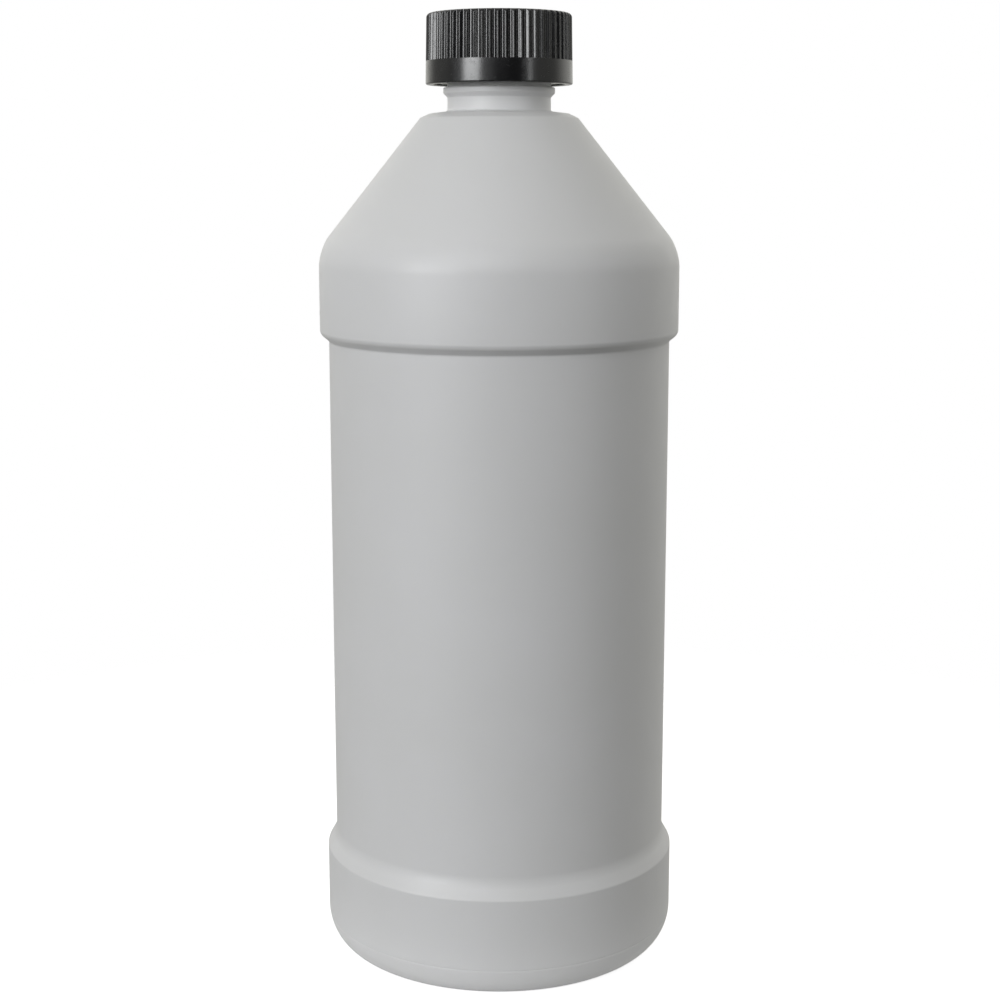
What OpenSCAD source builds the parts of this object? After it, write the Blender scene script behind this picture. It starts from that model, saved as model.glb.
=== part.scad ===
// Round wide-shouldered plastic bottle with a two-piece push-and-turn child-resistant cap.
// Millimetres, +Z up, origin at the centre of the ring that the bottle stands on.
// The cap is drawn screwed down. The outer shell drops by press_travel before its lugs drive the inner cap.

/* [Bottle body] */
// Diameter of the lower and the upper band
body_d = 88.8; // [80:0.1:96]
// Depth of the label panel below the bands
panel_recess = 2.2; // [0.8:0.1:4]
// Height from the foot to the point where the lower band starts to close in
lower_band_h = 25.6; // [22:0.1:40]
// Angle of the lower band's upper chamfer, from upright
lower_chamfer = 30; // [15:1:60]
// Radius that rounds the lower band into its chamfer
lower_round = 1; // [0.5:0.1:8]
// Radius in the corner between the label panel and the lower chamfer
lower_panel_round = 6; // [1:0.5:10]
// Height of the label panel
panel_h = 126.15; // [80:0.05:160]
// Angle of the lip under the upper band, from upright
lip_angle = 50; // [20:1:60]
// Radius that rounds the lip into the upper band
lip_round = 2.5; // [0.5:0.1:6]
// Radius in the corner between the label panel and the lip
panel_round = 0.8; // [0.2:0.1:1.5]
// Height of the upper band from the lip's edge to the start of the cone
upper_band_h = 20.5; // [16:0.5:40]
// Angle of the conical shoulder, from upright
cone_angle = 38.5; // [30:0.5:55]
// Radius that rounds the upper band into the cone
shoulder_round = 12; // [2:0.5:14]
// Thickness of the blown wall
wall = 0.95; // [0.7:0.05:1.4]

/* [Bottle foot] */
// Width of the heel's rounding, across
heel_w = 7.4; // [4:0.1:10]
// Height of the heel's rounding
heel_h = 9.2; // [5:0.1:14]
// Width of the flat ring that the bottle stands on
foot_ring_w = 2.4; // [1:0.1:4]
// Width of the slope between the ring and the raised base
push_up_slope = 3.4; // [2:0.1:6]
// Height of the raised base
push_up_h = 3.2; // [2:0.1:6]
// Radius that rounds the slope into the raised base
push_up_round = 2.4; // [0.5:0.1:3]
// Length of the pinch-off seam across the base
pinch_l = 46; // [20:1:56]
// Width of the pinch-off seam
pinch_w = 0.9; // [0.5:0.1:2]
// Height of the pinch-off seam below the raised base
pinch_h = 0.5; // [0.2:0.1:1]

/* [Neck] */
// Diameter of the plateau on which the neck stands
plateau_d = 34; // [32:0.1:42]
// Width of the gentle slope between the cone and the plateau
collar_w = 2.3; // [1:0.1:4]
// Height of the gentle slope between the cone and the plateau
collar_h = 1.05; // [0.6:0.05:2]
// Rise of the plateau from its edge to the neck
plateau_crown = 0.55; // [0.2:0.05:1]
// Rounding of the plateau's edge and of the cone's upper end
plateau_round = 0.8; // [0.2:0.1:1.5]
// Diameter of the neck between its threads
neck_d = 25.2; // [24:0.1:27]
// Thickness of the neck's wall
neck_wall = 1.8; // [1.4:0.1:2.4]
// Height of the plain neck below the bead
neck_foot_h = 3.3; // [2.6:0.1:8]
// Radius at the foot of the neck
neck_round = 0.6; // [0.2:0.1:1.2]
// How far the bead stands out from the neck
bead_out = 1; // [0.5:0.1:1.3]
// Height of the bead
bead_h = 2.4; // [1.2:0.1:3]
// Height of the slope under the bead
bead_slope = 1; // [0.4:0.1:1.1]
// Rounding of the bead's edges
bead_round = 0.4; // [0.1:0.05:0.5]
// Height from the bead to the sealing face
finish_h = 9.3; // [9:0.1:12]
// Chamfer around both edges of the sealing face
seal_chamfer = 0.4; // [0.2:0.1:0.6]

/* [Thread] */
// Rise of the thread in one turn
pitch = 4.233; // [4:0.001:4.4]
// How far the neck's thread stands out
thread_depth = 1.1; // [0.8:0.05:1.3]
// Width of the thread at its root
thread_w = 2.4; // [2:0.1:2.6]
// Width of the thread at its crest
thread_crest_w = 1.2; // [0.6:0.1:1.4]
// Distance from the sealing face to the neck's thread
thread_start = 1.2; // [0.8:0.1:1.6]
// Turns of thread on the neck
neck_turns = 1.25; // [1:0.05:1.3]
// Turns of thread in the inner cap
cap_turns = 1; // [0.8:0.05:1.1]
// Radial clearance between the two threads
thread_gap = 0.3; // [0.2:0.05:0.5]
// Play between the bearing flanks of the two threads
flank_play = 0.12; // [0.1:0.01:0.3]

/* [Inner cap and liner] */
// Thickness of the sealing disc
liner_t = 1; // [0.6:0.1:1.6]
// Radial clearance around the sealing disc
liner_gap = 0.2; // [0.1:0.05:0.6]
// Thickness of the inner cap's deck
deck_t = 1.2; // [1:0.1:1.8]
// Thickness of the inner cap's skirt
inner_wall = 1.4; // [1:0.1:1.8]
// How far the snap flange stands out from the inner cap's skirt
flange_out = 1.1; // [0.8:0.1:1.4]
// Height of the snap flange
flange_h = 1.2; // [0.8:0.1:2]
// Plain height between the inner cap's lower rim and its thread
thread_lead_in = 0.3; // [0.2:0.1:0.6]
// Number of drive lugs on each shell
lug_count = 8; // [6:1:10]
// Gap between the lugs of the two shells when they mesh
lug_gap = 0.6; // [0.3:0.1:1.2]
// Length of a drive lug, from the skirt inwards
lug_l = 3.6; // [2:0.1:4.5]
// Height of a drive lug
lug_h = 2.4; // [1.8:0.1:3]
// Width of the slope on a lug's slipping side
lug_ramp = 1.6; // [0.6:0.1:1.8]

/* [Outer cap] */
// Height of the outer cap's rim above the neck's bead
rim_clear = 0.6; // [0.4:0.1:2]
// Thickness of the outer cap's skirt at its lower rim
outer_wall = 1.6; // [1.4:0.1:2.2]
// Thickness of the outer cap's top
top_t = 1.6; // [1.2:0.1:2.4]
// How much narrower the outer cap is at its top, on the radius
cap_draft = 0.3; // [0.1:0.05:0.6]
// Rounding around the outer cap's top
top_round = 1; // [0.4:0.1:1.4]
// Rounding of the outer cap's lower rim
rim_round = 0.4; // [0.2:0.1:0.6]
// Radial gap between the two skirts
shell_gap = 0.9; // [0.6:0.05:1.2]
// Height of the smooth band below the ribs
band_h = 5.6; // [4.6:0.1:8]
// Number of grip grooves
groove_count = 58; // [40:1:72]
// Share of the rib spacing that a groove takes
groove_share = 0.9; // [0.6:0.01:0.94]
// Depth of a grip groove
groove_depth = 0.6; // [0.3:0.05:0.8]
// Share of a groove's width that its floor takes
groove_floor_share = 0.12; // [0.05:0.01:0.4]
// Share of a flank's width that its rounding takes, at the floor and at the crest
flank_round_w = 0.25; // [0.1:0.05:0.4]
// Share of a flank's height that its rounding takes, at the floor and at the crest
flank_round_h = 0.15; // [0.05:0.01:0.3]
// Turn of the grooves against the lugs
groove_turn = -1.1; // [-3:0.1:3]

/* [Fits and travel] */
// Travel of the outer cap until its lugs are fully engaged
press_travel = 1.7; // [1.2:0.1:2.4]
// Height left over the inner cap's deck when the outer cap is pressed
press_clear = 0.2; // [0.15:0.05:0.4]
// Radial gap between the snap flange and the outer cap
flange_gap = 0.3; // [0.2:0.05:0.5]
// How far the retaining bead reaches under the snap flange
snap_reach = 0.5; // [0.3:0.05:0.7]
// Gap between the retaining bead and the snap flange
snap_gap = 0.15; // [0.1:0.05:0.2]
// Height of the retaining bead's inner face
snap_land = 0.15; // [0.05:0.05:0.2]
// Height of the outer cap's rim below the snap flange
rim_drop = 0.5; // [0.45:0.05:1]

/* [Hidden] */
$fn = 96;
arc_step = 9;
thread_step = 10;
thread_fade = 30;
fuse = 0.3;
fillet_share = 0.5;
bottle_white = [0.86, 0.86, 0.84];
cap_black = [0.05, 0.05, 0.055];
inner_white = [0.84, 0.84, 0.82];
liner_white = [0.93, 0.93, 0.9];

// Radii and heights of the bottle, from the foot up
body_r = body_d / 2;
panel_r = body_r - panel_recess;
foot_r = body_r - heel_w;
ring_in_r = foot_r - foot_ring_w;
panel_z = lower_band_h + panel_recess / tan(lower_chamfer);
lip_z = panel_z + panel_h;
upper_band_z = lip_z + panel_recess / tan(lip_angle);
cone_z = upper_band_z + upper_band_h;
plateau_r = plateau_d / 2;
collar_r = plateau_r + collar_w;
collar_z = cone_z + (body_r - collar_r) / tan(cone_angle);
plateau_edge_z = collar_z + collar_h;
plateau_z = plateau_edge_z + plateau_crown;
neck_r = neck_d / 2;
bore_r = neck_r - neck_wall;
bead_z = plateau_z + neck_foot_h;
seal_z = bead_z + bead_h + finish_h;

// Thread of the neck: lowest point of its centre line
neck_crest_r = neck_r + thread_depth;
neck_thread_z = seal_z - thread_start - thread_w / 2 - neck_turns * pitch;

// Inner cap, from its bore outwards and from the liner up
inner_bore_r = neck_crest_r + thread_gap;
inner_r = inner_bore_r + inner_wall;
flange_r = inner_r + flange_out;
deck_z = seal_z + liner_t;
deck_top_z = deck_z + deck_t;
lug_in_r = inner_r - lug_l;
lug_w = 2 * lug_in_r * tan(90 / lug_count) - lug_gap;

// Outer cap: its rim stands above the bead, its roof above the meshing lugs
outer_in_r = inner_r + shell_gap;
outer_r = outer_in_r + outer_wall;
roof_z = deck_top_z + lug_h + press_travel + press_clear;
cap_top_z = roof_z + top_t;
cap_z = bead_z + bead_h + rim_clear;
band_top_z = cap_z + band_h;
band_in_r = flange_r + flange_gap;
snap_r = flange_r - snap_reach;
inner_z = cap_z + rim_drop;
draft_angle = atan(cap_draft / (cap_top_z - cap_z));
band_top_r = outer_r - band_h * tan(draft_angle);

// Thread of the inner cap: it bears on the underside of the neck's thread, flank_play below it
cap_crest_r = neck_r + thread_gap;
flank_width = (thread_w - thread_crest_w) / 2;
neck_half_at_cap_crest = thread_w / 2 - flank_width * thread_gap / thread_depth;
thread_offset = neck_half_at_cap_crest + thread_crest_w / 2 + flank_play;
cap_thread_z = inner_z + thread_lead_in + thread_w / 2;
cap_thread_turn = 360 * (cap_thread_z + thread_offset - neck_thread_z) / pitch;

// Outlines: a corner is [radius, height, rounding]
function spot(c) = [c[0], c[1]];
function unit(v) = v / norm(v);
function side(a, b) = let (d = unit(spot(b) - spot(a))) [-d[1], d[0]];
function turn(a, b) = a[0] * b[1] - a[1] * b[0];

// Points of the arc that rounds corner q between p and s, as far as its two sides leave room
function corner_arc(p, q, s) =
    let (
        u = unit(spot(p) - spot(q)),
        v = unit(spot(s) - spot(q)),
        half = acos(u * v) / 2,
        reach = fillet_share * min(norm(spot(p) - spot(q)), norm(spot(s) - spot(q))),
        r = min(q[2], reach * tan(half)),
        centre = spot(q) + unit(u + v) * r / sin(half),
        first = spot(q) + u * r / tan(half) - centre,
        sweep = (180 - 2 * half) * sign(turn(-u, v)),
        steps = ceil(abs(sweep) / arc_step)
    )
    [for (i = [0 : steps])
        let (a = sweep * i / steps)
        centre + [first[0] * cos(a) - first[1] * sin(a), first[0] * sin(a) + first[1] * cos(a)]];

// Open outline through the corners, with the inner ones rounded
function outline(c) =
    let (last = len(c) - 1)
    [for (i = [0 : last])
        each (i == 0 || i == last || c[i][2] == 0) ? [spot(c[i])] : corner_arc(c[i - 1], c[i], c[i + 1])];

// The same corners moved in by t, to the left of the way the outline runs
function inset(c, t) =
    let (last = len(c) - 1)
    [for (i = [0 : last])
        let (
            n1 = i == 0 ? side(c[0], c[1]) : side(c[i - 1], c[i]),
            n2 = i == last ? side(c[last - 1], c[last]) : side(c[i], c[i + 1]),
            p = spot(c[i]) + (n1 + n2) * t / (1 + n1 * n2),
            r = c[i][2] == 0 ? 0 : max(0.1, c[i][2] - sign(turn(n1, n2)) * t)
        )
        [p[0], p[1], r]];

// The heel is a quarter of an ellipse, t inside the outer face
function heel(t) =
    [for (a = [-90 + arc_step : arc_step : -arc_step])
        [foot_r + (heel_w - t) * cos(a), heel_h + (heel_h - t) * sin(a)]];

base_corners = [
    [0, push_up_h, 0],
    [ring_in_r - push_up_slope, push_up_h, push_up_round],
    [ring_in_r, 0, 0],
    [foot_r, 0, 0]
];
body_corners = [
    [body_r, heel_h, 0],
    [body_r, lower_band_h, lower_round],
    [panel_r, panel_z, lower_panel_round],
    [panel_r, lip_z, panel_round],
    [body_r, upper_band_z, lip_round],
    [body_r, cone_z, shoulder_round],
    [collar_r, collar_z, plateau_round],
    [plateau_r, plateau_edge_z, plateau_round]
];
neck_corners = [
    [neck_r, plateau_z, neck_round],
    [neck_r, bead_z, 0],
    [neck_r + bead_out, bead_z + bead_slope, bead_round],
    [neck_r + bead_out, bead_z + bead_h, bead_round],
    [neck_r, bead_z + bead_h, bead_round],
    [neck_r, seal_z - seal_chamfer, 0],
    [neck_r - seal_chamfer, seal_z, 0],
    [bore_r + seal_chamfer, seal_z, 0],
    [bore_r, seal_z - seal_chamfer, 0]
];
roof_corners = concat(body_corners, [[bore_r, plateau_z, 0]]);
outer_face = concat(outline(base_corners), heel(0), outline(concat(body_corners, neck_corners)));
inner_face = concat(outline(inset(base_corners, wall)), heel(wall), outline(inset(roof_corners, wall)));

// A helical ridge, rooted in a wall at root_r, with faded ends. Its crest is outside or inside the root.
module ridge(root_r, crest_r, z, start, turns) {
    out = crest_r > root_r ? 1 : -1;
    steps = ceil(turns * 360 / thread_step);
    foot = root_r - out * fuse;
    section = [for (i = [0 : steps])
        let (
            a = turns * 360 * i / steps,
            fade = min(1, a / thread_fade, (turns * 360 - a) / thread_fade),
            top = root_r - out * fuse / 2 + (crest_r - root_r + out * fuse / 2) * fade
        )
        [[foot, -thread_w / 2], [top, -thread_crest_w / 2], [top, thread_crest_w / 2], [foot, thread_w / 2]]];
    points = [for (i = [0 : steps])
        let (a = start + turns * 360 * i / steps)
        for (j = [0 : 3])
            let (p = section[i][out > 0 ? 3 - j : j])
            [p[0] * cos(a), p[0] * sin(a), z + pitch * turns * i / steps + p[1]]];
    sides = [for (i = [0 : steps - 1])
        for (j = [0 : 3])
            let (k = (j + 1) % 4)
            each [
                [4 * i + j, 4 * i + 4 + j, 4 * i + 4 + k],
                [4 * i + j, 4 * i + 4 + k, 4 * i + k]
            ]];
    ends = [[0, 1, 2, 3], [4 * steps + 3, 4 * steps + 2, 4 * steps + 1, 4 * steps]];
    polyhedron(points, concat(sides, ends), convexity = 6);
}

// A drive lug that stands on z = 0 along +X. It drives with its upright face and slips over its slope.
module lug(length) {
    rotate([90, 0, 90])
        linear_extrude(height = length)
            polygon([
                [-lug_w / 2, -fuse],
                [lug_w / 2, -fuse],
                [lug_w / 2, lug_h],
                [-lug_w / 2 + lug_ramp, lug_h],
                [-lug_w / 2, 0]
            ]);
}

module bottle() {
    color(bottle_white) {
        rotate_extrude()
            polygon(concat(outer_face, [for (i = [len(inner_face) - 1 : -1 : 0]) inner_face[i]]));
        ridge(neck_r, neck_crest_r, neck_thread_z, 0, neck_turns);
        translate([-pinch_l / 2, -pinch_w / 2, push_up_h - pinch_h])
            cube([pinch_l, pinch_w, pinch_h + wall / 2]);
    }
}

module cap_liner() {
    color(liner_white)
        translate([0, 0, seal_z])
            cylinder(r = inner_bore_r - liner_gap, h = liner_t);
}

module inner_cap() {
    color(inner_white) {
        rotate_extrude()
            polygon([
                [0, deck_z],
                [inner_bore_r, deck_z],
                [inner_bore_r, inner_z],
                [flange_r, inner_z],
                [flange_r, inner_z + flange_h - flange_out / 2],
                [inner_r, inner_z + flange_h],
                [inner_r, deck_top_z - seal_chamfer],
                [inner_r - seal_chamfer, deck_top_z],
                [0, deck_top_z]
            ]);
        ridge(inner_bore_r, cap_crest_r, cap_thread_z, cap_thread_turn, cap_turns);
        for (i = [0 : lug_count - 1])
            rotate([0, 0, i * 360 / lug_count])
                translate([lug_in_r, 0, deck_top_z])
                    lug(lug_l - seal_chamfer);
    }
}

// Outside and inside of the outer shell, as one closed section
module outer_section() {
    outside = outline([
        [outer_r - 2 * rim_round, cap_z, 0],
        [outer_r, cap_z, rim_round],
        [outer_r - cap_draft, cap_top_z, top_round],
        [0, cap_top_z, 0]
    ]);
    polygon(concat(
        outside,
        [
            [0, roof_z],
            [outer_in_r, roof_z],
            [outer_in_r, band_top_z],
            [band_in_r, band_top_z - (band_in_r - outer_in_r)],
            [band_in_r, inner_z - snap_gap],
            [snap_r, inner_z - snap_gap],
            [snap_r, inner_z - snap_gap - snap_land],
            [snap_r + rim_drop / 2, cap_z]
        ]
    ));
}

// A grip groove with rounded flanks, as deep at its lower end as at the cap's top
module grip_groove() {
    half_w = groove_share * PI * outer_r / groove_count;
    floor_half_w = groove_floor_share * half_w;
    ease_w = flank_round_w * (half_w - floor_half_w);
    ease_h = flank_round_h * groove_depth;
    flank = [
        [-groove_depth, floor_half_w],
        [ease_h - groove_depth, floor_half_w + ease_w],
        [-ease_h, half_w - ease_w],
        [0, half_w],
        [fuse, half_w]
    ];
    translate([band_top_r, 0, band_top_z])
        rotate([0, -draft_angle, 0])
            linear_extrude(height = cap_top_z - band_top_z + fuse)
                polygon(concat(flank, [for (i = [4 : -1 : 0]) [flank[i][0], -flank[i][1]]]));
}

module outer_cap() {
    color(cap_black) {
        difference() {
            rotate_extrude()
                outer_section();
            for (i = [0 : groove_count - 1])
                rotate([0, 0, i * 360 / groove_count + groove_turn])
                    grip_groove();
        }
        for (i = [0 : lug_count - 1])
            rotate([0, 0, (i + 0.5) * 360 / lug_count])
                translate([lug_in_r, 0, roof_z])
                    rotate([180, 0, 0])
                        lug(outer_in_r + fuse - lug_in_r);
    }
}

bottle();
cap_liner();
inner_cap();
outer_cap();
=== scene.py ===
"""A round white plastic bottle with a black push-and-turn cap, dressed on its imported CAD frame.

Metres, +Z up. The photograph looks along +Y. The frame holds four solids: the bottle, the sealing
disc, the inner cap and the outer cap. Each gets one finished piece here, with the same main sizes.
"""

from collections import namedtuple
from math import ceil, cos, pi, radians, sin, tan

import bmesh
import bpy
from bpy.props import FloatProperty, FloatVectorProperty, IntProperty, PointerProperty
from mathutils import Matrix, Vector


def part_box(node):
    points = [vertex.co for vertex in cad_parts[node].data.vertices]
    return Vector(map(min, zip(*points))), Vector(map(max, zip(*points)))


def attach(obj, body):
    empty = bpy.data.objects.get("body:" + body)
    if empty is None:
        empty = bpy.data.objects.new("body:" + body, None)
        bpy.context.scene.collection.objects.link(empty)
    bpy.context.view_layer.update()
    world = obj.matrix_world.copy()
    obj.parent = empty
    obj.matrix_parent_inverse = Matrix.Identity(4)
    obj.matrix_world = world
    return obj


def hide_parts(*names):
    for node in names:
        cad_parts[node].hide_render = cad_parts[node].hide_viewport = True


bl_info = {
    "name": "Bottle with a push-and-turn cap",
    "version": (1, 0, 0),
    "blender": (4, 5, 0),
    "location": "3D View > Sidebar > Bottle",
    "description": "Builds a plastic bottle and its two-piece child-resistant cap on a CAD frame",
    "category": "Add Mesh",
}

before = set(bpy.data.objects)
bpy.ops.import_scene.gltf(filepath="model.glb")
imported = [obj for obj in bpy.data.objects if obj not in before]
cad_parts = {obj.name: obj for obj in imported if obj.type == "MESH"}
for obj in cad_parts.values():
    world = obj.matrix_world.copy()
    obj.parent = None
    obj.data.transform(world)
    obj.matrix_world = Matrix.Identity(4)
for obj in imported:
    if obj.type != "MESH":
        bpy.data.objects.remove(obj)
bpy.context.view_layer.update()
BOTTLE_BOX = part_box("bottle")
DISC_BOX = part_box("cap_liner")
INNER_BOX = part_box("inner_cap")
OUTER_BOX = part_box("outer_cap")

MM = 0.001
TURN = 2 * pi
UP = (0, 0, 1)
CENTRE = (0, 0, 0)
ARC_STEP = radians(6)  # a rounding gets one segment for each step of its turn
REACH_SHARE = 0.8  # a rounding takes at most this share of the shorter side next to it
WELD = 0.002 * MM
CREASE = radians(38)
FUSE = 0.3 * MM  # ridges and lugs reach this far into the wall they stand on
SOFT = 0.1 * MM  # least rounding of a moulded edge
RIDGE_STEPS = 72  # sections of a thread in one turn
RIDGE_FADE = radians(30)  # turn over which a thread grows to its full height
RIDGE_START = 0.2  # share of its height that a thread has at its very end
LUG_ROUND = 0.18 * MM
LAMP_DISTANCE = 1.3
LAMP_AIM = Vector((0, 0, 0.15))

Corner = namedtuple("Corner", "r z round stretch", defaults=(0.0, 1.0))


# Sizes and colours that a user would change
def length(name, default, about):
    return FloatProperty(
        name=name, description=about, default=default, min=0, unit="LENGTH", precision=5
    )


def slant(name, default, about):
    return FloatProperty(
        name=name, description=about, default=default, min=0, max=pi / 2, subtype="ANGLE"
    )


def share(name, default, about):
    return FloatProperty(
        name=name, description=about, default=default, min=0, max=1, subtype="FACTOR"
    )


def tint(name, default, about):
    return FloatVectorProperty(
        name=name, description=about, default=default, size=3, min=0, max=1, subtype="COLOR"
    )


def power(name, default, about):
    return FloatProperty(name=name, description=about, default=default, min=0, unit="POWER")


def glow(name, default, about):
    return FloatProperty(name=name, description=about, default=default, min=0, max=10)


class BodySizes(bpy.types.PropertyGroup):
    """Sizes of the blown bottle below its neck"""

    body_d: length("Body", BOTTLE_BOX[1].x - BOTTLE_BOX[0].x, "Diameter of both bands")
    panel_recess: length("Panel recess", 2.2 * MM, "Depth of the label panel below the bands")
    lower_band_h: length("Lower band", 25.6 * MM, "Height at which the lower band closes in")
    lower_chamfer: slant("Lower chamfer", radians(30), "Slope above the lower band, from upright")
    lower_round: length("Lower rounding", 1 * MM, "Rounding between the lower band and its slope")
    slope_round: length("Slope rounding", 6 * MM, "Rounding between that slope and the label panel")
    panel_h: length("Label panel", 126.15 * MM, "Height of the label panel")
    lip_angle: slant("Lip", radians(50), "Slope of the lip under the upper band, from upright")
    lip_round: length("Lip rounding", 1.8 * MM, "Rounding between the lip and the upper band")
    panel_round: length("Panel rounding", 0.8 * MM, "Rounding between the label panel and the lip")
    upper_band_h: length("Upper band", 20.5 * MM, "Height of the upper band")
    cone_angle: slant("Shoulder", radians(38.5), "Slope of the conical shoulder, from upright")
    shoulder_round: length("Shoulder rounding", 12 * MM, "Rounding between band and shoulder")
    wall: length("Wall", 0.95 * MM, "Thickness of the blown wall")
    heel_w: length("Heel width", 7.4 * MM, "Width of the heel's rounding")
    heel_h: length("Heel height", 9.2 * MM, "Height of the heel's rounding")
    foot_ring_w: length("Standing ring", 2.4 * MM, "Width of the ring the bottle stands on")
    foot_round: length("Foot rounding", 0.6 * MM, "Rounding of the ring's inner edge")
    push_up_slope: length("Base slope", 3.4 * MM, "Width of the slope inside the ring")
    push_up_h: length("Base height", 3.2 * MM, "Height of the raised base")
    push_up_round: length("Base rounding", 2.4 * MM, "Rounding between slope and raised base")
    pinch_l: length("Seam length", 46 * MM, "Length of the pinch-off seam across the base")
    pinch_w: length("Seam width", 0.9 * MM, "Width of the pinch-off seam")
    pinch_h: length("Seam height", 0.5 * MM, "How far the seam stands out of the base")
    insert_line_z: length("Heel line height", 7.9 * MM, "Height of the mould's heel line")
    insert_line_w: length("Heel line width", 0.16 * MM, "Width of the mould's heel line")
    insert_line_in: length("Heel line depth", 0.05 * MM, "Depth of the mould's heel line")
    columns: IntProperty(
        name="Columns", description="Faces around the bottle", default=192, min=48, max=384
    )


class NeckSizes(bpy.types.PropertyGroup):
    """Sizes of the neck and its thread"""

    plateau_d: length("Plateau", 34 * MM, "Diameter of the plateau under the neck")
    collar_w: length("Collar width", 2.3 * MM, "Width of the slope from shoulder to plateau")
    collar_h: length("Collar height", 1.05 * MM, "Height of the slope from shoulder to plateau")
    plateau_crown: length("Plateau crown", 0.55 * MM, "Rise of the plateau towards the neck")
    plateau_round: length("Plateau rounding", 0.8 * MM, "Rounding of the collar's edges")
    neck_d: length("Neck", 25.2 * MM, "Diameter of the neck between its threads")
    neck_wall: length("Neck wall", 1.8 * MM, "Thickness of the neck's wall")
    foot_h: length("Plain neck", 3.3 * MM, "Height of the neck below its bead")
    neck_round: length("Neck rounding", 0.6 * MM, "Rounding at the foot of the neck")
    bead_out: length("Bead reach", 1 * MM, "How far the bead stands out of the neck")
    bead_h: length("Bead height", 2.4 * MM, "Height of the bead")
    bead_slope: length("Bead slope", 1 * MM, "Height of the slope under the bead")
    bead_round: length("Bead rounding", 0.45 * MM, "Rounding of the bead's edges")
    mouth_z: length("Mouth height", BOTTLE_BOX[1].z, "Height of the sealing face")
    seal_chamfer: length("Mouth chamfer", 0.4 * MM, "Chamfer around the sealing face")
    thread_pitch: length("Pitch", 4.233 * MM, "Rise of the thread in one turn")
    thread_depth: length("Thread depth", 1.1 * MM, "How far the neck's thread stands out")
    thread_w: length("Thread width", 2.4 * MM, "Width of the thread at its root")
    crest_w: length("Crest width", 1.2 * MM, "Width of the thread at its crest")
    crest_round: length("Crest rounding", 0.25 * MM, "Rounding of the thread's crest")
    thread_start: length("Thread start", 1.2 * MM, "From the sealing face to the thread")
    neck_turns: FloatProperty(
        name="Turns", description="Turns of thread on the neck", default=1.25, min=0.5, max=2
    )


class CapSizes(bpy.types.PropertyGroup):
    """Sizes of the outer cap, the inner cap and the sealing disc"""

    outer_d: length("Outer cap", OUTER_BOX[1].y - OUTER_BOX[0].y, "Diameter at the lower rim")
    outer_wall: length("Outer wall", 1.6 * MM, "Thickness of the outer cap's skirt at its rim")
    top_t: length("Top", 1.6 * MM, "Thickness of the outer cap's top")
    draft: length("Draft", 0.3 * MM, "How much narrower the top is than the rim, on the radius")
    top_round: length("Top rounding", 1 * MM, "Rounding around the cap's top")
    rim_round: length("Rim rounding", 0.4 * MM, "Rounding of the lower rim")
    band_h: length("Smooth band", 5.6 * MM, "Height of the smooth band below the ribs")
    band_edge: length("Band edge", 0.02 * MM, "Height of the step where a groove ends at the band")
    groove_count: IntProperty(
        name="Grooves", description="Grip grooves around the cap", default=58, min=24, max=96
    )
    groove_depth: length("Groove depth", 0.6 * MM, "Depth of a grip groove")
    groove_turn: FloatProperty(
        name="Groove turn",
        description="Turn of the first groove, against the lugs",
        default=radians(-1.1),
        subtype="ANGLE",
    )
    floor_share: share("Floor share", 0.1, "Share of the rib spacing that a groove's floor takes")
    flank_steps: IntProperty(
        name="Flank steps", description="Faces across one flank of a rib", default=8, min=3, max=16
    )
    inner_wall: length("Inner wall", 1.4 * MM, "Thickness of the inner cap's skirt")
    flange_out: length("Flange reach", 1.1 * MM, "How far the snap flange stands out")
    flange_h: length("Flange height", 1.2 * MM, "Height of the snap flange")
    flange_gap: length("Flange gap", 0.3 * MM, "Gap between the snap flange and the outer cap")
    snap_reach: length("Snap reach", 0.5 * MM, "How far the retaining bead reaches under it")
    snap_gap: length("Snap gap", 0.15 * MM, "Gap between retaining bead and snap flange")
    snap_land: length("Snap land", 0.15 * MM, "Height of the retaining bead's inner face")
    deck_t: length("Deck", 1.2 * MM, "Thickness of the inner cap's deck")
    thread_gap: length("Thread gap", 0.3 * MM, "Clearance between the two threads")
    flank_play: length("Flank play", 0.12 * MM, "Play between the bearing flanks")
    thread_lead_in: length("Lead-in", 0.3 * MM, "Plain height below the inner cap's thread")
    cap_turns: FloatProperty(
        name="Cap turns", description="Turns of thread in the cap", default=1, min=0.5, max=2
    )
    lug_count: IntProperty(
        name="Lugs", description="Drive lugs on each shell", default=8, min=4, max=12
    )
    lug_gap: length("Lug gap", 0.6 * MM, "Gap between meshing lugs")
    lug_l: length("Lug length", 3.6 * MM, "Length of a drive lug")
    lug_h: length("Lug height", 2.4 * MM, "Height of a drive lug")
    lug_ramp: length("Lug ramp", 1.6 * MM, "Width of the slope on a lug's slipping side")
    disc_edge: length("Disc edge", 0.15 * MM, "Rounding of the sealing disc's edge")
    disc_print: length("Disc print", 0.06 * MM, "Depth of the mouth's print in the disc")
    inner_columns: IntProperty(
        name="Columns", description="Faces around the inner cap", default=144, min=48, max=384
    )


class Colours(bpy.types.PropertyGroup):
    """Colours and gloss of the plastics"""

    bottle: tint("Bottle", (0.76, 0.76, 0.767), "Colour of the blown polyethylene")
    bottle_shade: tint("Bottle, thick", (0.74, 0.74, 0.742), "Its colour where the wall is thick")
    bottle_rough: share("Bottle roughness", 0.44, "Roughness of the bottle")
    cap: tint("Outer cap", (0.006, 0.006, 0.0068), "Colour of the outer cap")
    cap_worn: tint("Outer cap, scuffed", (0.014, 0.014, 0.0147), "Its colour where it is scuffed")
    cap_rough: share("Outer cap roughness", 0.23, "Roughness of the outer cap")
    inner: tint("Inner cap", (0.78, 0.78, 0.76), "Colour of the inner cap")
    disc: tint("Sealing disc", (0.86, 0.86, 0.83), "Colour of the sealing disc")


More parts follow.
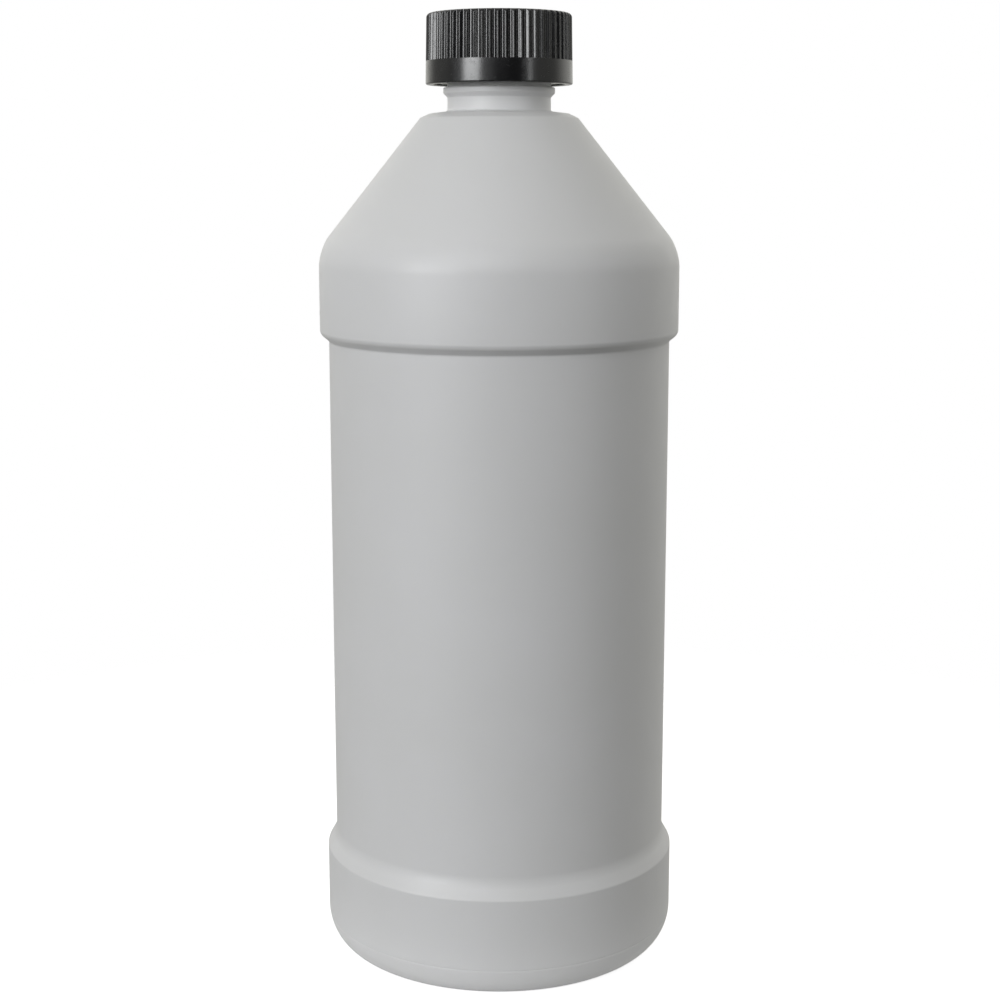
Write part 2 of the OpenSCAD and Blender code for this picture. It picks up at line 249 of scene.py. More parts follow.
class StageSettings(bpy.types.PropertyGroup):
    """Camera, floor and studio light"""

    camera_y: FloatProperty(
        name="Camera", description="Place of the camera along Y", default=-0.4614, unit="LENGTH"
    )
    camera_z: length("Camera height", 0.1984, "Height of the camera")
    camera_pitch: slant("Camera pitch", radians(10.27), "How far the camera looks down")
    lens: FloatProperty(
        name="Lens", description="Focal length in millimetres", default=66.73, min=10, max=200
    )
    key_power: power("Key light", 6.4, "Power of the soft box")
    fill_power: power("Fill light", 2, "Power of the large, weak box around it")
    front_power: power("Front light", 4.1, "Power of the soft box above the camera")
    strip_power: power("Strip light", 1.2, "Power of the narrow strip")
    back_glow: glow("Back wall", 0.7, "Brightness of the wall behind the bottle, over the sides")
    side_glow: glow("Sides", 0.35, "Brightness of the room beside the bottle")
    front_glow: glow("Front", 0.02, "Brightness of the room on the camera's side")
    top_glow: glow("Ceiling", 0.1, "Brightness of the ceiling")
    floor_glow: glow("Floor", 0.72, "Brightness of the table as the camera sees it")
    bounce_glow: glow("Bounce", 0.16, "Brightness of the table as the bottle sees it")


# Outlines, drawn in the XZ plane and turned around Z
def side(a, b):
    """Unit normal to the left of the way from corner a to corner b."""
    d = Vector((b.r - a.r, b.z - a.z)).normalized()
    return Vector((-d.y, d.x))


def inset(corners, t):
    """The same corners moved to the left by t, with their roundings made to match."""
    moved = []
    for i, c in enumerate(corners):
        before = side(corners[max(i, 1) - 1], corners[max(i, 1)])
        after = side(*corners[i : i + 2]) if i + 1 < len(corners) else before
        place = Vector((c.r, c.z)) + (before + after) * t / (1 + before.dot(after))
        way = 1 if before.cross(after) > 0 else -1
        rounding = max(SOFT, c.round - way * t) if c.round else 0.0
        stretch = (c.round * c.stretch - t) / (c.round - t) if c.stretch != 1 else 1.0
        moved.append(Corner(place.x, place.y, rounding, stretch))
    return moved


def draw_outline(bm, corners):
    """Open wire through the corners, each rounded one bevelled, as (vertices, edges)."""
    ends = [bm.verts.new((c.r, 0, c.z)) for c in corners]
    for a, b in zip(ends, ends[1:]):
        bm.edges.new((a, b))
    for before, c, after, end in zip(corners, corners[1:], corners[2:], ends[1:]):
        if not c.round:
            continue
        back = Vector((before.r - c.r, before.z - c.z))
        onward = Vector((after.r - c.r, after.z - c.z))
        bend = pi - back.angle(onward)
        reach = min(c.round * tan(bend / 2), REACH_SHARE * min(back.length, onward.length))
        made = bmesh.ops.bevel(
            bm,
            geom=[end],
            offset=reach,
            offset_type="OFFSET",
            segments=max(2, ceil(bend / ARC_STEP)),
            profile=0.5,
            affect="VERTICES",
            clamp_overlap=False,
            material=-1,
        )
        if c.stretch != 1:
            bmesh.ops.scale(
                bm,
                vec=(1, 1, c.stretch),
                space=Matrix.Translation((0, 0, -c.z)),
                verts=made["verts"],
            )
    return bm.verts[:], bm.edges[:]


def spin(bm, geom, angle, steps, rise=0.0, merge=False, copies=False):
    """Spin around the Z axis. Returns the geometry of the last step."""
    return bmesh.ops.spin(
        bm,
        geom=geom,
        cent=CENTRE,
        axis=UP,
        dvec=(0, 0, rise / steps),
        angle=angle,
        steps=steps,
        use_merge=merge,
        use_normal_flip=False,
        use_duplicate=copies,
    )["geom_last"]


def repeat(bm, geom, count):
    """Copies of the geometry at even steps around the Z axis, count in all."""
    spin(bm, geom, TURN * (count - 1) / count, count - 1, copies=True)


def tidy_up(bm):
    """Merges doubles, then turns every face outwards."""
    bmesh.ops.remove_doubles(bm, verts=bm.verts, dist=WELD)
    bmesh.ops.dissolve_degenerate(bm, edges=bm.edges, dist=WELD / 2)
    bmesh.ops.recalc_face_normals(bm, faces=bm.faces)


def turned_shell(corners, columns):
    """A bmesh of the outline turned around Z. The outline starts and ends on the axis."""
    bm = bmesh.new()
    verts, edges = draw_outline(bm, corners)
    spin(bm, verts + edges, TURN, columns, merge=True)
    tidy_up(bm)
    return bm


def joined(bm, other):
    """Adds the other bmesh to bm as a shell of its own."""
    passing = bpy.data.meshes.new("passing")
    other.to_mesh(passing)
    other.free()
    bm.from_mesh(passing)
    bpy.data.meshes.remove(passing)


def thread_ridge(root, crest, low, start, turns, sizes):
    """A closed helical ridge with rounded crest edges and faded ends, rooted inside its wall."""
    bm = bmesh.new()
    foot = root - FUSE if crest > root else root + FUSE
    half_root, half_crest = sizes.thread_w / 2, sizes.crest_w / 2
    section = [(foot, -half_root), (crest, -half_crest), (crest, half_crest), (foot, half_root)]
    verts = [bm.verts.new((r, 0, low + h)) for r, h in section]
    bm.faces.new(verts)
    bmesh.ops.bevel(
        bm,
        geom=verts[1:3],
        offset=sizes.crest_round,
        offset_type="OFFSET",
        segments=3,
        profile=0.5,
        affect="VERTICES",
        material=-1,
    )
    bmesh.ops.rotate(bm, cent=CENTRE, matrix=Matrix.Rotation(start, 3, "Z"), verts=bm.verts)
    steps = round(turns * RIDGE_STEPS)
    last = bm.verts[:] + bm.edges[:] + bm.faces[:]
    sections = [[v for v in last if isinstance(v, bmesh.types.BMVert)]]
    for _ in range(steps):
        rise = sizes.thread_pitch * turns / steps
        last = spin(bm, last, TURN * turns / steps, 1, rise=rise)
        sections.append([v for v in last if isinstance(v, bmesh.types.BMVert)])
    for i, ring in enumerate(sections):
        angle = TURN * turns * i / steps
        grown = min(1, angle / RIDGE_FADE, (TURN * turns - angle) / RIDGE_FADE)
        for v in ring:
            r = v.co.xy.length
            v.co.xy *= (foot + (r - foot) * max(RIDGE_START, grown)) / r
    tidy_up(bm)
    return bm


def neck_thread_low(neck):
    """Height at which the middle of the neck's thread starts."""
    top = neck.mouth_z - neck.thread_start - neck.thread_w / 2
    return top - neck.neck_turns * neck.thread_pitch


def drive_lugs(z, inner, outer, first, down, caps):
    """A ring of drive lugs that stand on z, or hang from it, from radius inner to radius outer."""
    bm = bmesh.new()
    half = inner * tan(pi / 2 / caps.lug_count) - caps.lug_gap / 2
    profile = [
        (-half, -FUSE),
        (half, -FUSE),
        (half, caps.lug_h),
        (caps.lug_ramp - half, caps.lug_h),
        (-half, 0),
    ]
    face = bm.faces.new([bm.verts.new((inner, y, h)) for y, h in profile])
    made = bmesh.ops.extrude_face_region(bm, geom=[face], use_keep_orig=True)
    far = [v for v in made["geom"] if isinstance(v, bmesh.types.BMVert)]
    bmesh.ops.translate(bm, vec=(outer - inner, 0, 0), verts=far)
    bmesh.ops.bevel(
        bm,
        geom=[e for e in bm.edges if all(v.co.z > caps.lug_h / 2 for v in e.verts)],
        offset=LUG_ROUND,
        offset_type="OFFSET",
        segments=2,
        profile=0.5,
        affect="EDGES",
        clamp_overlap=True,
        material=-1,
    )
    if down:
        bmesh.ops.rotate(bm, cent=CENTRE, matrix=Matrix.Rotation(pi, 3, "X"), verts=bm.verts)
    bmesh.ops.translate(bm, vec=(0, 0, z), verts=bm.verts)
    bmesh.ops.rotate(bm, cent=CENTRE, matrix=Matrix.Rotation(first, 3, "Z"), verts=bm.verts)
    repeat(bm, bm.verts[:] + bm.edges[:] + bm.faces[:], caps.lug_count)
    tidy_up(bm)
    return bm


def finished(bm, name, body, node, material):
    """The bmesh as a piece that rides on its body and stands for its CAD node."""
    mesh = bpy.data.meshes.new(name)
    bm.to_mesh(mesh)
    bm.free()
    mesh.materials.append(material)
    mesh.shade_smooth()
    mesh.set_sharp_from_angle(angle=CREASE)
    piece = bpy.data.objects.new(name, mesh)
    bpy.context.scene.collection.objects.link(piece)
    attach(piece, body)
    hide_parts(node)
    return piece


# Materials
def plastic(name, roughness, **constants):
    """A material with one Principled shader, its constants set on the shader itself."""
    material = bpy.data.materials.new(name)
    material.use_nodes = True
    shader = material.node_tree.nodes["Principled BSDF"]
    shader.inputs["Roughness"].default_value = roughness
    for socket, value in constants.items():
        shader.inputs[socket.replace("_", " ")].default_value = value
    return material, shader


def noise(tree, scale, detail, roughness=0.5):
    """Noise in the piece's own coordinates. The scale is in features a metre."""
    nodes, links = tree.nodes, tree.links
    where = nodes.get("Place") or nodes.new("ShaderNodeTexCoord")
    where.name = "Place"
    made = nodes.new("ShaderNodeTexNoise")
    made.inputs["Scale"].default_value = scale
    made.inputs["Detail"].default_value = detail
    made.inputs["Roughness"].default_value = roughness
    links.new(where.outputs["Object"], made.inputs["Vector"])
    return made.outputs["Fac"]


def span(tree, value, low, high, to_low, to_high):
    """The value's stretch from low to high, mapped to another stretch."""
    made = tree.nodes.new("ShaderNodeMapRange")
    for socket, number in zip(
        ("From Min", "From Max", "To Min", "To Max"), (low, high, to_low, to_high)
    ):
        made.inputs[socket].default_value = number
    tree.links.new(value, made.inputs["Value"])
    return made.outputs["Result"]


def two_tone(tree, shader, first, second, factor):
    """Base colour between two tones."""
    made = tree.nodes.new("ShaderNodeMix")
    made.data_type = "RGBA"
    made.inputs["A"].default_value = (*first, 1)
    made.inputs["B"].default_value = (*second, 1)
    tree.links.new(factor, made.inputs["Factor"])
    tree.links.new(made.outputs["Result"], shader.inputs["Base Color"])


def relief(tree, shader, *layers):
    """Stacked bumps, each (height, depth in metres), coarse one first."""
    normal = None
    for height, depth in layers:
        made = tree.nodes.new("ShaderNodeBump")
        made.inputs["Strength"].default_value = 1
        made.inputs["Distance"].default_value = depth
        tree.links.new(height, made.inputs["Height"])
        if normal:
            tree.links.new(normal, made.inputs["Normal"])
        normal = made.outputs["Normal"]
    tree.links.new(normal, shader.inputs["Normal"])


def blown_polyethylene(colours):
    """Matt white of a blown bottle: fine grain, slow waves in the wall, slightly cloudy colour."""
    material, shader = plastic(
        "blown_polyethylene",
        colours.bottle_rough,
        IOR=1.5,
        Subsurface_Weight=0.12,
        Subsurface_Radius=(0.004, 0.004, 0.0036),
        Subsurface_Scale=0.4,
    )
    tree = material.node_tree
    clouds = noise(tree, 28, 3)
    grain = noise(tree, 2600, 2)
    clouds = span(tree, clouds, 0.35, 0.7, 0, 1)
    two_tone(tree, shader, colours.bottle, colours.bottle_shade, clouds)
    rough = colours.bottle_rough
    mottle = span(tree, noise(tree, 190, 4), 0.3, 0.7, rough - 0.05, rough + 0.05)
    tree.links.new(mottle, shader.inputs["Roughness"])
    relief(tree, shader, (noise(tree, 55, 1), 0.02 * MM), (grain, 0.006 * MM))
    return material


def glossy_polypropylene(colours):
    """Glossy black of the moulded cap, with faint handling marks."""
    material, shader = plastic(
        "glossy_black_polypropylene", colours.cap_rough, IOR=1.5, Specular_IOR_Level=0.8
    )
    tree = material.node_tree
    marks = span(tree, noise(tree, 420, 6, 0.7), 0.5, 0.72, 0, 1)
    two_tone(tree, shader, colours.cap, colours.cap_worn, marks)
    rough = colours.cap_rough
    tree.links.new(span(tree, marks, 0, 1, rough, rough + 0.12), shader.inputs["Roughness"])
    relief(tree, shader, (noise(tree, 160, 1), 0.008 * MM), (noise(tree, 3200, 2), 0.0006 * MM))
    return material


def satin_polypropylene(colours):
    """Natural white of the moulded inner cap."""
    material, shader = plastic(
        "satin_white_polypropylene",
        0.35,
        IOR=1.49,
        Subsurface_Weight=0.15,
        Subsurface_Radius=(0.004, 0.004, 0.0036),
        Subsurface_Scale=0.4,
    )
    tree = material.node_tree
    clouds = span(tree, noise(tree, 90, 3), 0.3, 0.7, 0, 1)
    two_tone(tree, shader, colours.inner, [0.96 * c for c in colours.inner], clouds)
    tree.links.new(span(tree, clouds, 0, 1, 0.32, 0.4), shader.inputs["Roughness"])
    relief(tree, shader, (noise(tree, 1500, 2), 0.004 * MM))
    return material


def foamed_polyethylene(colours):
    """Soft cellular face of the sealing disc."""
    material, shader = plastic("foamed_polyethylene", 0.7, IOR=1.45)
    tree = material.node_tree
    where = tree.nodes.new("ShaderNodeTexCoord")
    cells = tree.nodes.new("ShaderNodeTexVoronoi")
    cells.inputs["Scale"].default_value = 3000
    tree.links.new(where.outputs["Object"], cells.inputs["Vector"])
    depth = span(tree, cells.outputs["Distance"], 0, 0.8, 0, 1)
    two_tone(tree, shader, colours.disc, [0.93 * c for c in colours.disc], depth)
    tree.links.new(span(tree, depth, 0, 1, 0.6, 0.8), shader.inputs["Roughness"])
    relief(tree, shader, (depth, 0.03 * MM))
    return material


# Pieces
class BOTTLE_OT_shell(bpy.types.Operator):
    """Builds the blown bottle with its neck, thread and pinch-off seam"""

    bl_idname = "bottle.shell"
    bl_label = "Bottle"

    def execute(self, context):
        body, neck = context.scene.bottle_body, context.scene.bottle_neck
        outer, inner = self.faces(body, neck)
        bm = turned_shell(outer + inner[::-1], body.columns)
        self.heel_line(bm, body)
        low = neck_thread_low(neck)
        root = neck.neck_d / 2
        joined(bm, thread_ridge(root, root + neck.thread_depth, low, 0, neck.neck_turns, neck))
        joined(bm, self.pinch_off(body))
        finished(
            bm,
            "bottle_shell",
            "bottle",
            "bottle",
            blown_polyethylene(context.scene.plastic_colours),
        )
        return {"FINISHED"}

    def faces(self, body, neck):
        """Corners of the outer face, from the axis to the bore, and of the inner face."""
        r = body.body_d / 2
        panel_r = r - body.panel_recess
        ring_in = r - body.heel_w - body.foot_ring_w
        panel_z = body.lower_band_h + body.panel_recess / tan(body.lower_chamfer)
        lip_z = panel_z + body.panel_h
        band_z = lip_z + body.panel_recess / tan(body.lip_angle)
        cone_z = band_z + body.upper_band_h
        plateau_r = neck.plateau_d / 2
        collar_r = plateau_r + neck.collar_w
        collar_z = cone_z + (r - collar_r) / tan(body.cone_angle)
        edge_z = collar_z + neck.collar_h
        plateau_z = edge_z + neck.plateau_crown
        neck_r = neck.neck_d / 2
        bore = neck_r - neck.neck_wall
        bead_r = neck_r + neck.bead_out
        bead_z = plateau_z + neck.foot_h
        mouth, cut = neck.mouth_z, neck.seal_chamfer
        lower = [
            Corner(0, body.push_up_h),
            Corner(ring_in - body.push_up_slope, body.push_up_h, body.push_up_round),
            Corner(ring_in, 0, body.foot_round),
            Corner(r, 0, body.heel_w, body.heel_h / body.heel_w),
            Corner(r, body.lower_band_h, body.lower_round),
            Corner(panel_r, panel_z, body.slope_round),
            Corner(panel_r, lip_z, body.panel_round),
            Corner(r, band_z, body.lip_round),
            Corner(r, cone_z, body.shoulder_round),
            Corner(collar_r, collar_z, neck.plateau_round),
            Corner(plateau_r, edge_z, neck.plateau_round),
        ]
        upper = [
            Corner(neck_r, plateau_z, neck.neck_round),
            Corner(neck_r, bead_z, neck.bead_round),
            Corner(bead_r, bead_z + neck.bead_slope, neck.bead_round),
            Corner(bead_r, bead_z + neck.bead_h, neck.bead_round),
            Corner(neck_r, bead_z + neck.bead_h, neck.bead_round),
            Corner(neck_r, mouth - cut, cut / 3),
            Corner(neck_r - cut, mouth, cut / 3),
            Corner(bore + cut, mouth, cut / 3),
            Corner(bore, mouth - cut, cut / 3),
        ]
        inner = inset(lower + [Corner(bore, plateau_z)], body.wall)
        return lower + upper, inner

    def heel_line(self, bm, body):
        """Presses the faint line of the mould's base insert into the heel."""
        half = body.insert_line_w / 2
        for height in (-half, 0, half):
            bmesh.ops.bisect_plane(
                bm,
                geom=bm.verts[:] + bm.edges[:] + bm.faces[:],
                plane_co=(0, 0, body.insert_line_z + height),
                plane_no=UP,
                dist=WELD,
            )
        edge = body.body_d / 2
        pressed = [
            v
            for v in bm.verts
            if abs(v.co.z - body.insert_line_z) < half / 2
            and v.co.xy.length > edge - body.wall / 2
        ]
        keep = 1 - body.insert_line_in / edge
        bmesh.ops.scale(bm, vec=(keep, keep, 1), verts=pressed)

    def pinch_off(self, body):
        """The seam where the mould pinched the tube shut, a low bar with soft edges."""
        bm = bmesh.new()
        deep = body.wall / 2
        bmesh.ops.create_cube(bm, size=1)
        size = (body.pinch_l, body.pinch_w, body.pinch_h + deep)
        bmesh.ops.scale(bm, vec=size, verts=bm.verts)
        middle = body.push_up_h + (deep - body.pinch_h) / 2
        bmesh.ops.translate(bm, vec=(0, 0, middle), verts=bm.verts)
        bmesh.ops.bevel(
            bm,
            geom=[e for e in bm.edges if all(v.co.z < body.push_up_h for v in e.verts)],
            offset=body.pinch_w / 3,
            offset_type="OFFSET",
            segments=4,
            profile=0.5,
            affect="EDGES",
            material=-1,
        )
        tidy_up(bm)
        return bm


class BOTTLE_OT_outer_cap(bpy.types.Operator):
    """Builds the black outer cap with its grip ribs, retaining bead and drive lugs"""

    bl_idname = "bottle.outer_cap"
    bl_label = "Outer cap"

    def execute(self, context):
        caps = context.scene.bottle_caps
        rim_z, top_z = OUTER_BOX[0].z, OUTER_BOX[1].z
        band_z = rim_z + caps.band_h
        bm = bmesh.new()
        draw_outline(bm, self.corners(caps, rim_z, band_z, top_z))
        self.ribbed_sector(bm, caps, band_z)
        repeat(bm, bm.verts[:] + bm.edges[:] + bm.faces[:], caps.groove_count)
        bmesh.ops.rotate(
            bm, cent=CENTRE, matrix=Matrix.Rotation(caps.groove_turn, 3, "Z"), verts=bm.verts
        )
        tidy_up(bm)
        inner_r = caps.outer_d / 2 - caps.outer_wall
        lug_in = inner_skirt(caps) - caps.lug_l
        joined(
            bm,
            drive_lugs(
                top_z - caps.top_t,
                lug_in,
                inner_r + FUSE,
                pi / caps.lug_count,
                True,
                caps,
            ),
        )
        finished(
            bm,
            "outer_cap_shell",
            "outer",
            "outer_cap",
            glossy_polypropylene(context.scene.plastic_colours),
        )
        return {"FINISHED"}

    def corners(self, caps, rim_z, band_z, top_z):
        """Corners from the middle of the top, down the outside, and back up the inside."""
        rim_r = caps.outer_d / 2
        top_r = rim_r - caps.draft
        edge = caps.band_edge
        support = 10 * edge  # a row this far below the step keeps the band's shading even
        slope = (top_r - rim_r) / (top_z - rim_z)
        inner_r = rim_r - caps.outer_wall
        flange = inner_skirt(caps) + caps.flange_out
        band_r = flange + caps.flange_gap
        snap_r = flange - caps.snap_reach
        snap_z = INNER_BOX[0].z - caps.snap_gap
        roof_z = top_z - caps.top_t
        return [
            Corner(0, top_z),
            Corner(top_r, top_z, caps.top_round),
            Corner(rim_r + slope * (band_z + edge - rim_z), band_z + edge),
            Corner(rim_r + slope * (band_z - rim_z), band_z),
            Corner(rim_r + slope * (band_z - support - rim_z), band_z - support),
            Corner(rim_r, rim_z, caps.rim_round),
            Corner(snap_r + (snap_z - caps.snap_land - rim_z), rim_z, SOFT),
            Corner(snap_r, snap_z - caps.snap_land, SOFT),
            Corner(snap_r, snap_z, SOFT),
            Corner(band_r, snap_z),
            Corner(band_r, band_z - (band_r - inner_r)),
            Corner(inner_r, band_z),
            Corner(inner_r, roof_z, 0.3 * MM),
            Corner(0, roof_z),
        ]

    def ribbed_sector(self, bm, caps, band_z):
        """Turns the outline through one spacing, then presses the groove between two ribs in."""
        spacing = TURN / caps.groove_count
        floor = spacing * caps.floor_share / 2
        steps = caps.flank_steps
        half = [0] + [floor + (spacing / 2 - floor) * i / steps for i in range(steps + 1)]
        depths = [caps.groove_depth] + [
            caps.groove_depth * (1 + cos(pi * i / steps)) / 2 for i in range(steps + 1)
        ]
        angles = half + [spacing - a for a in half[-2::-1]]
        depths += depths[-2::-1]
        last = bm.verts[:] + bm.edges[:]
        columns = [[v for v in last if isinstance(v, bmesh.types.BMVert)]]
        for before, after in zip(angles, angles[1:]):
            last = spin(bm, last, after - before, 1)
            columns.append([v for v in last if isinstance(v, bmesh.types.BMVert)])
        rim_r, rim_z, top_z = caps.outer_d / 2, OUTER_BOX[0].z, OUTER_BOX[1].z
        outside = rim_r - caps.draft - caps.top_round
        for depth, column in zip(depths, columns):
            for v in column:
                r = v.co.xy.length
                if v.co.z < band_z + WELD or r < outside:
                    continue
                face_r = rim_r - caps.draft * (v.co.z - rim_z) / (top_z - rim_z)
                v.co.xy *= min(r, face_r - depth) / r


def inner_skirt(caps):
    """Outer radius of the inner cap's skirt."""
    return (INNER_BOX[1].x - INNER_BOX[0].x) / 2 - caps.flange_out


class BOTTLE_OT_inner_cap(bpy.types.Operator):
    """Builds the white inner cap with its thread, snap flange and drive lugs"""

    bl_idname = "bottle.inner_cap"
    bl_label = "Inner cap"

    def execute(self, context):
        caps, neck = context.scene.bottle_caps, context.scene.bottle_neck
        rim_z = INNER_BOX[0].z
        deck_top = INNER_BOX[1].z - caps.lug_h
        deck_z = deck_top - caps.deck_t
        skirt = inner_skirt(caps)
        flange = skirt + caps.flange_out
        bore = skirt - caps.inner_wall
        cut = neck.seal_chamfer
        soft = 0.15 * MM
        corners = [
            Corner(0, deck_z),
            Corner(bore, deck_z, 0.4 * MM),
            Corner(bore, rim_z, soft),
            Corner(flange, rim_z, soft),
            Corner(flange, rim_z + caps.flange_h - caps.flange_out / 2, soft),
            Corner(skirt, rim_z + caps.flange_h, soft),
            Corner(skirt, deck_top - cut, cut / 3),
            Corner(skirt - cut, deck_top, cut / 3),
            Corner(0, deck_top),
        ]
        bm = turned_shell(corners, caps.inner_columns)
        crest = neck.neck_d / 2 + caps.thread_gap
        low = rim_z + caps.thread_lead_in + neck.thread_w / 2
        start = self.thread_turn(caps, neck, low)
        joined(bm, thread_ridge(bore, crest, low, start, caps.cap_turns, neck))
        lug_in = skirt - caps.lug_l
        joined(bm, drive_lugs(deck_top, lug_in, skirt - cut, 0, False, caps))
        finished(
            bm,
            "inner_cap_shell",
            "inner",
            "inner_cap",
            satin_polypropylene(context.scene.plastic_colours),
        )
        return {"FINISHED"}

    def thread_turn(self, caps, neck, low):
        """Angle at which the cap's thread starts, so that it bears under the neck's thread."""
        flank = (neck.thread_w - neck.crest_w) / 2
        half = neck.thread_w / 2 - flank * caps.thread_gap / neck.thread_depth
        below = half + neck.crest_w / 2 + caps.flank_play
        return TURN * (low + below - neck_thread_low(neck)) / neck.thread_pitch


class BOTTLE_OT_sealing_disc(bpy.types.Operator):
    """Builds the foam disc that seals the bottle's mouth"""

    bl_idname = "bottle.sealing_disc"
    bl_label = "Sealing disc"

    def execute(self, context):
        caps, neck = context.scene.bottle_caps, context.scene.bottle_neck
        low, high = DISC_BOX[0].z, DISC_BOX[1].z
        r = (DISC_BOX[1].x - DISC_BOX[0].x) / 2
        mouth_out = neck.neck_d / 2 - neck.seal_chamfer
        mouth_in = mouth_out - neck.neck_wall + 2 * neck.seal_chamfer
        edge, press = caps.disc_edge, caps.disc_print
        corners = [
            Corner(0, low),
            Corner(mouth_in - press, low, press),
            Corner(mouth_in, low + press, press),
            Corner(mouth_out, low + press, press),
            Corner(mouth_out + press, low, press),
            Corner(r, low, edge),
            Corner(r, high, edge),
            Corner(0, high),
        ]
        finished(
            turned_shell(corners, caps.inner_columns),
            "sealing_disc",
            "liner",
            "cap_liner",
            foamed_polyethylene(context.scene.plastic_colours),
        )
        return {"FINISHED"}


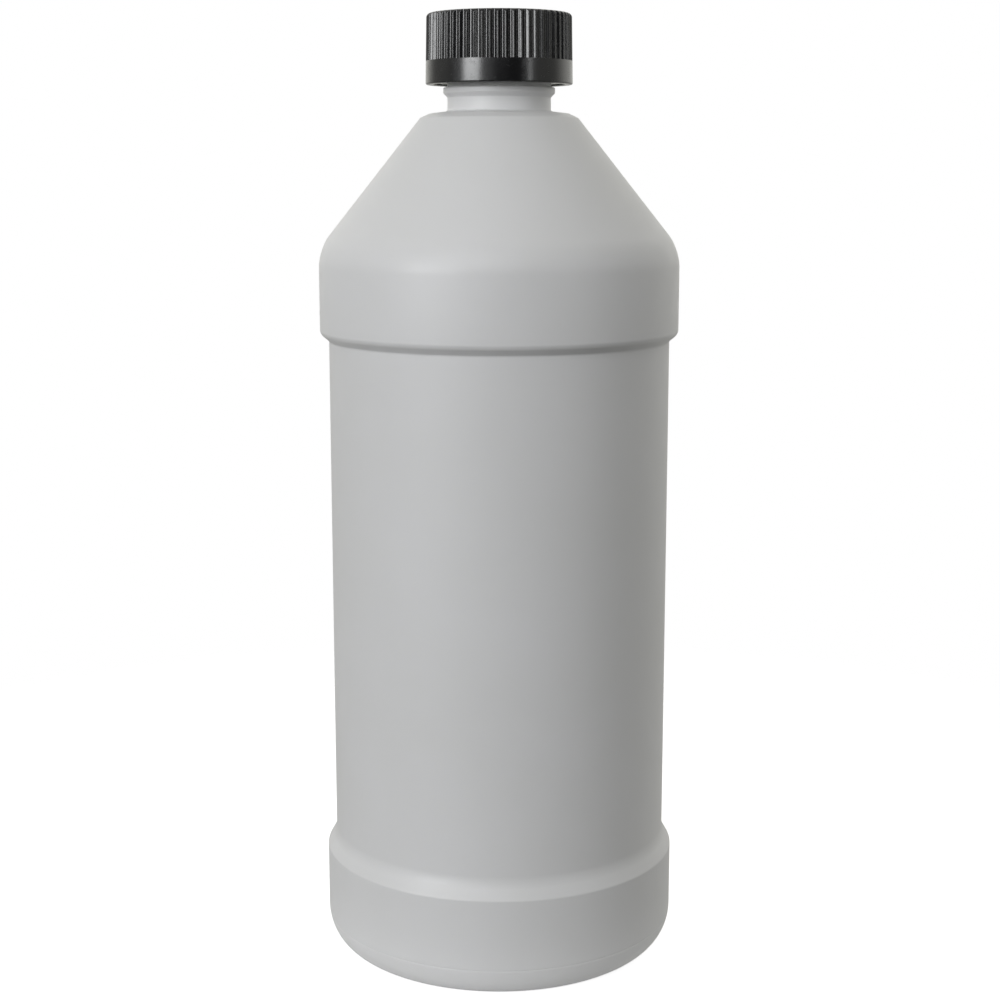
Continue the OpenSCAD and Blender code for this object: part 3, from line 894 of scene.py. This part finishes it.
# Stage
class BOTTLE_OT_stage(bpy.types.Operator):
    """Sets up the camera, the pale floor and the soft studio light"""

    bl_idname = "bottle.stage"
    bl_label = "Stage"

    def execute(self, context):
        stage = context.scene.bottle_stage
        context.scene.view_settings.view_transform = "Standard"
        self.camera(context.scene, stage)
        seen = self.table(context.scene, "floor", 0, (0.09, 0.3), stage.floor_glow)
        seen.visible_diffuse = seen.visible_glossy = False
        bounce = self.table(context.scene, "floor_bounce", -MM, (0.05, 0.08), stage.bounce_glow)
        bounce.visible_camera = False
        self.surroundings(context.scene, stage)
        self.soft_box(context.scene, "key_light", -43.5, 11, (0.6, 0.42), stage.key_power)
        self.soft_box(context.scene, "fill_light", -42, 14, (1.7, 1), stage.fill_power)
        self.soft_box(context.scene, "front_light", -15, 30, (1.2, 0.63), stage.front_power)
        self.soft_box(context.scene, "strip_light", 48.5, 10, (0.08, 0.9), stage.strip_power)
        return {"FINISHED"}

    def camera(self, scene, stage):
        lens = bpy.data.cameras.new("camera")
        lens.lens = stage.lens
        lens.sensor_width = 36
        camera = bpy.data.objects.new("camera", lens)
        camera.location = (0.0002, stage.camera_y, stage.camera_z)
        camera.rotation_euler = (pi / 2 - stage.camera_pitch, 0, 0)
        scene.collection.objects.link(camera)
        scene.camera = camera

    def table(self, scene, name, z, fade, strength):
        """A pale disc that thins out between the two radii of its fade."""
        bm = bmesh.new()
        bmesh.ops.create_circle(bm, cap_ends=True, radius=2 * fade[1], segments=96)
        bmesh.ops.translate(bm, vec=(0, 0, z), verts=bm.verts)
        mesh = bpy.data.meshes.new(name)
        bm.to_mesh(mesh)
        bm.free()
        table = bpy.data.objects.new(name, mesh)
        scene.collection.objects.link(table)
        material, shader = plastic(name, 0.7, Emission_Color=(1, 1, 1, 1))
        shader.inputs["Base Color"].default_value = (0.8, 0.8, 0.8, 1)
        shader.inputs["Emission Strength"].default_value = strength
        tree = material.node_tree
        place = tree.nodes.new("ShaderNodeTexCoord")
        far = tree.nodes.new("ShaderNodeVectorMath")
        far.operation = "LENGTH"
        tree.links.new(place.outputs["Object"], far.inputs[0])
        solid = span(tree, far.outputs["Value"], *fade, 1, 0)
        tree.links.new(solid, shader.inputs["Alpha"])
        mesh.materials.append(material)
        return table

    def surroundings(self, scene, stage):
        """A room with a bright back wall, dark on the camera's side, and white where it is seen."""
        world = bpy.data.worlds.new("studio")
        world.use_nodes = True
        scene.world = world
        tree = world.node_tree
        nodes, links = tree.nodes, tree.links
        way = nodes.new("ShaderNodeTexCoord")
        apart = nodes.new("ShaderNodeSeparateXYZ")
        links.new(way.outputs["Generated"], apart.inputs[0])
        # The back wall reaches further round on the right
        turned = nodes.new("ShaderNodeVectorMath")
        turned.operation = "DOT_PRODUCT"
        turned.inputs[1].default_value = (0.22, 1, 0)
        links.new(way.outputs["Generated"], turned.inputs[0])
        around = turned.outputs["Value"]
        sides = span(tree, around, -0.6, -0.25, stage.front_glow, stage.side_glow)
        wall = nodes.new("ShaderNodeMath")
        links.new(span(tree, around, 0.35, 0.7, 0, stage.back_glow), wall.inputs[0])
        links.new(sides, wall.inputs[1])
        ceiling = span(tree, apart.outputs["Z"], 0.5, 0.9, 0, stage.top_glow)
        ground = span(tree, apart.outputs["Z"], -0.15, 0, 0.5, 1)
        glow = nodes.new("ShaderNodeMath")
        glow.operation = "MULTIPLY_ADD"
        links.new(wall.outputs["Value"], glow.inputs[0])
        links.new(ground, glow.inputs[1])
        links.new(ceiling, glow.inputs[2])
        lit = nodes["Background"]
        links.new(glow.outputs["Value"], lit.inputs["Strength"])
        lit.inputs["Color"].default_value = (1, 0.995, 0.94, 1)
        seen = nodes.new("ShaderNodeBackground")
        seen.inputs["Color"].default_value = (1, 1, 1, 1)
        ray = nodes.new("ShaderNodeLightPath")
        choice = nodes.new("ShaderNodeMixShader")
        links.new(ray.outputs["Is Camera Ray"], choice.inputs["Fac"])
        links.new(lit.outputs["Background"], choice.inputs[1])
        links.new(seen.outputs["Background"], choice.inputs[2])
        links.new(choice.outputs["Shader"], nodes["World Output"].inputs["Surface"])

    def soft_box(self, scene, name, azimuth, elevation, size, power):
        """A rectangular light that faces the bottle. Degrees, azimuth from the camera's side."""
        lamp = bpy.data.lights.new(name, "AREA")
        lamp.shape = "RECTANGLE"
        lamp.size, lamp.size_y = size
        lamp.energy = power
        lamp.color = (0.98, 0.992, 1)
        light = bpy.data.objects.new(name, lamp)
        light.rotation_euler = (pi / 2 - radians(elevation), 0, radians(azimuth))
        away = light.rotation_euler.to_matrix() @ Vector((0, 0, LAMP_DISTANCE))
        light.location = LAMP_AIM + away
        light.visible_camera = False
        scene.collection.objects.link(light)


class BOTTLE_PT_panel(bpy.types.Panel):
    """Lists the bottle's pieces and their sizes"""

    bl_idname = "BOTTLE_PT_panel"
    bl_label = "Bottle"
    bl_space_type = "VIEW_3D"
    bl_region_type = "UI"
    bl_category = "Bottle"

    def draw(self, context):
        for step in STEPS:
            self.layout.operator(step.bl_idname)
        for name, _ in GROUPS:
            box = self.layout.box()
            group = getattr(context.scene, name)
            for prop in group.bl_rna.properties:
                if prop.identifier not in ("rna_type", "name"):
                    box.prop(group, prop.identifier)


GROUPS = (
    ("bottle_body", BodySizes),
    ("bottle_neck", NeckSizes),
    ("bottle_caps", CapSizes),
    ("plastic_colours", Colours),
    ("bottle_stage", StageSettings),
)
STEPS = (
    BOTTLE_OT_shell,
    BOTTLE_OT_sealing_disc,
    BOTTLE_OT_inner_cap,
    BOTTLE_OT_outer_cap,
    BOTTLE_OT_stage,
)


def register():
    for name, group in GROUPS:
        bpy.utils.register_class(group)
        setattr(bpy.types.Scene, name, PointerProperty(type=group))
    for cls in (*STEPS, BOTTLE_PT_panel):
        bpy.utils.register_class(cls)


def unregister():
    for cls in (BOTTLE_PT_panel, *STEPS[::-1]):
        bpy.utils.unregister_class(cls)
    for name, group in GROUPS[::-1]:
        delattr(bpy.types.Scene, name)
        bpy.utils.unregister_class(group)


def main():
    register()
    bpy.ops.bottle.shell()
    bpy.ops.bottle.sealing_disc()
    bpy.ops.bottle.inner_cap()
    bpy.ops.bottle.outer_cap()
    bpy.ops.bottle.stage()


if __name__ == "__main__":
    main()
